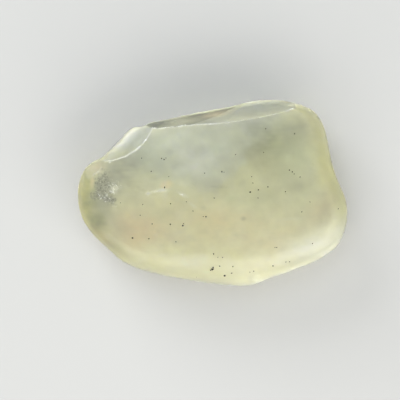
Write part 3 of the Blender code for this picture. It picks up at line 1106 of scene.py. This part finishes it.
class OBJECT_OT_desert_glass_stone(bpy.types.Operator):
    """Makes the stone: its worn surface and its glass"""

    bl_idname = "object.desert_glass_stone"
    bl_label = "Make the stone"

    def execute(self, context):
        look = context.scene.stone_look
        grid, gap, shares = worn_stone(look)
        colour, frost = tint_and_painted_light(grid, gap, shares, look)
        mesh = closed_mesh("worn_glass", listed(grid), *grid_faces(*grid.shape[:2]))
        paint = mesh.color_attributes.new("tint_and_painted_light", "FLOAT_COLOR", "POINT")
        flat = np.concatenate([listed(colour), np.ones((len(mesh.vertices), 1))], axis=1)
        paint.data.foreach_set("color", flat.astype(np.float32).ravel())
        skin = mesh.attributes.new("frost", "FLOAT", "POINT")
        skin.data.foreach_set("value", listed(frost).astype(np.float32))
        piece = add_piece("worn_glass", mesh, glass_material(look))
        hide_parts("desert_glass")
        return {"FINISHED"}


class OBJECT_OT_desert_glass_specks(bpy.types.Operator):
    """Makes the dark mineral specks that lie in the skin of the stone"""

    bl_idname = "object.desert_glass_specks"
    bl_label = "Make the specks"

    def execute(self, context):
        look = context.scene.speck_look
        points, normals = stone_surface()
        rng = np.random.default_rng(SPECK_SEED)
        spots = np.array(SPECKS)
        middles, out = on_front(points, normals, spots)
        elsewhere = np.flatnonzero((normals[:, 2] < UP_FACING) & (points[:, 2] > HIDDEN_LOWEST))
        others = rng.choice(elsewhere, look.hidden_count)
        middles = np.concatenate([middles, points[others]])
        out = np.concatenate([out, normals[others]])
        showing = np.concatenate([spots[:, 2], rng.uniform(*HIDDEN_SPECKS, look.hidden_count)])
        sizes = showing * SPECK_GIRTH
        sunk = np.repeat(SPECK_SINK, [len(spots), look.hidden_count])
        middles = middles - out * (sizes * sunk)[:, None]
        mesh = grain_mesh("specks", middles, sizes, SPECK_SEED)
        piece = add_piece("specks", mesh, grain_material("dark_grain", look.colour, roughness=0.7))
        return {"FINISHED"}


class OBJECT_OT_desert_glass_bruises(bpy.types.Operator):
    """Makes the white crushed glass: the bruises in the front and the crumbs along the sharp edges"""

    bl_idname = "object.desert_glass_bruises"
    bl_label = "Make the bruises"

    def execute(self, context):
        look = context.scene.bruise_look
        points, normals = stone_surface()
        rng = np.random.default_rng(look.seed)
        spots, sizes = scattered(BRUISES, rng)
        middles, out = on_front(points, normals, spots)
        middles = middles - out * (sizes * rng.uniform(*FLAKE_SINK, len(spots)))[:, None]

        grid, gap, _ = worn_stone(context.scene.stone_look)
        edge = sharp_edge(grid, gap, *CRUMB_EDGE)
        crumbs = edge[rng.integers(0, len(edge), look.crumb_count)]
        crumbs = crumbs + rng.normal(scale=CRUMB_STRAY, size=crumbs.shape)
        middles = np.concatenate([middles, crumbs - (0, 0, CRUMB_SINK)])
        sizes = np.concatenate([sizes, rng.uniform(*CRUMB_SIZES, len(crumbs))])
        mesh = grain_mesh("crushed_glass", middles, sizes, look.seed)
        piece = add_piece("crushed_glass", mesh, grain_material("crushed_glass", look.colour, roughness=0.3))
        return {"FINISHED"}


class SCENE_OT_desert_glass_stage(bpy.types.Operator):
    """Makes the floor, the lights and the camera"""

    bl_idname = "scene.desert_glass_stage"
    bl_label = "Make the stage"

    def execute(self, context):
        look = context.scene.stage_look
        scene = context.scene
        floor = floor_sheet(look.floor_colour)
        scene.collection.objects.link(floor)
        scene.world = sky(look.sky_strength)
        for name, azimuth, elevation, side, share, colour, mirrored in SOFTBOXES:
            lamp = softbox(name, azimuth, elevation, side, look.light_power * share, colour)
            lamp.visible_glossy = mirrored
            scene.collection.objects.link(lamp)
        scene.camera = photo_camera(look.camera_height)
        scene.collection.objects.link(scene.camera)
        scene.view_settings.view_transform = "Standard"
        return {"FINISHED"}


def floor_sheet(colour):
    """A plain square floor at height 0, with its middle at the origin."""
    half = FLOOR_SIDE / 2
    mesh = bpy.data.meshes.new("floor")
    corners = [(-half, -half, 0), (half, -half, 0), (half, half, 0), (-half, half, 0)]
    mesh.from_pydata(corners, [], [(0, 1, 2, 3)])
    material, tree, shader = new_material("floor")
    set_inputs(tree, shader, {"Base Color": (*colour, 1), "Roughness": 0.9})
    mesh.materials.append(material)
    return bpy.data.objects.new("floor", mesh)


def sky(strength):
    """A world of even light from all round."""
    world = bpy.data.worlds.new("room")
    world.use_nodes = True
    background = world.node_tree.nodes["Background"]
    set_inputs(world.node_tree, background, {"Color": (*SKY_COLOUR, 1), "Strength": strength})
    return world


def softbox(name, azimuth, elevation, side, power, colour):
    """A square soft light LIGHT_DISTANCE away that faces the stone.

    Its azimuth goes from +X towards +Y, and its elevation up from the floor, both in degrees.
    """
    light = bpy.data.lights.new(name, "AREA")
    light.size, light.energy, light.color = side, power, colour
    lamp = bpy.data.objects.new(name, light)
    azimuth, elevation = math.radians(azimuth), math.radians(elevation)
    level = math.cos(elevation)
    way = Vector((level * math.cos(azimuth), level * math.sin(azimuth), math.sin(elevation)))
    lamp.location = way * LIGHT_DISTANCE
    lamp.rotation_euler = way.to_track_quat("Z", "Y").to_euler()
    return lamp


def photo_camera(height):
    """A camera that looks straight down, with the stone as large and in the same place as in the photo.

    Lens = sensor width x distance to the widest line / width that the photo spans there.
    """
    camera = bpy.data.objects.new("camera", bpy.data.cameras.new("camera"))
    middle = PHOTO_SIDE / 2
    camera.location = ((middle - ORIGIN_PIXEL[0]) * PIXEL, (ORIGIN_PIXEL[1] - middle) * PIXEL, height)
    camera.data.lens = camera.data.sensor_width * (height - WIDEST_LEVEL) / (PHOTO_SIDE * PIXEL)
    camera.data.clip_start = 0.01
    return camera


class VIEW3D_PT_desert_glass(bpy.types.Panel):
    bl_label = "Desert glass"
    bl_space_type = "VIEW_3D"
    bl_region_type = "UI"
    bl_category = "Desert glass"

    def draw(self, context):
        for look, operator in STEPS.items():
            box = self.layout.box()
            group = getattr(context.scene, look)
            for name in group.__annotations__:
                box.prop(group, name)
            box.operator(operator.bl_idname)


STEPS = {
    "stone_look": OBJECT_OT_desert_glass_stone,
    "speck_look": OBJECT_OT_desert_glass_specks,
    "bruise_look": OBJECT_OT_desert_glass_bruises,
    "stage_look": SCENE_OT_desert_glass_stage,
}
CLASSES = (
    StoneLook,
    SpeckLook,
    BruiseLook,
    StageLook,
    OBJECT_OT_desert_glass_stone,
    OBJECT_OT_desert_glass_specks,
    OBJECT_OT_desert_glass_bruises,
    SCENE_OT_desert_glass_stage,
    VIEW3D_PT_desert_glass,
)


def register():
    for cls in CLASSES:
        bpy.utils.register_class(cls)
    bpy.types.Scene.stone_look = PointerProperty(type=StoneLook)
    bpy.types.Scene.speck_look = PointerProperty(type=SpeckLook)
    bpy.types.Scene.bruise_look = PointerProperty(type=BruiseLook)
    bpy.types.Scene.stage_look = PointerProperty(type=StageLook)


def unregister():
    del bpy.types.Scene.stage_look
    del bpy.types.Scene.bruise_look
    del bpy.types.Scene.speck_look
    del bpy.types.Scene.stone_look
    for cls in reversed(CLASSES):
        bpy.utils.unregister_class(cls)


def main():
    register()
    bpy.ops.object.desert_glass_stone()
    bpy.ops.object.desert_glass_specks()
    bpy.ops.object.desert_glass_bruises()
    bpy.ops.scene.desert_glass_stage()


if __name__ == "__main__":
    main()
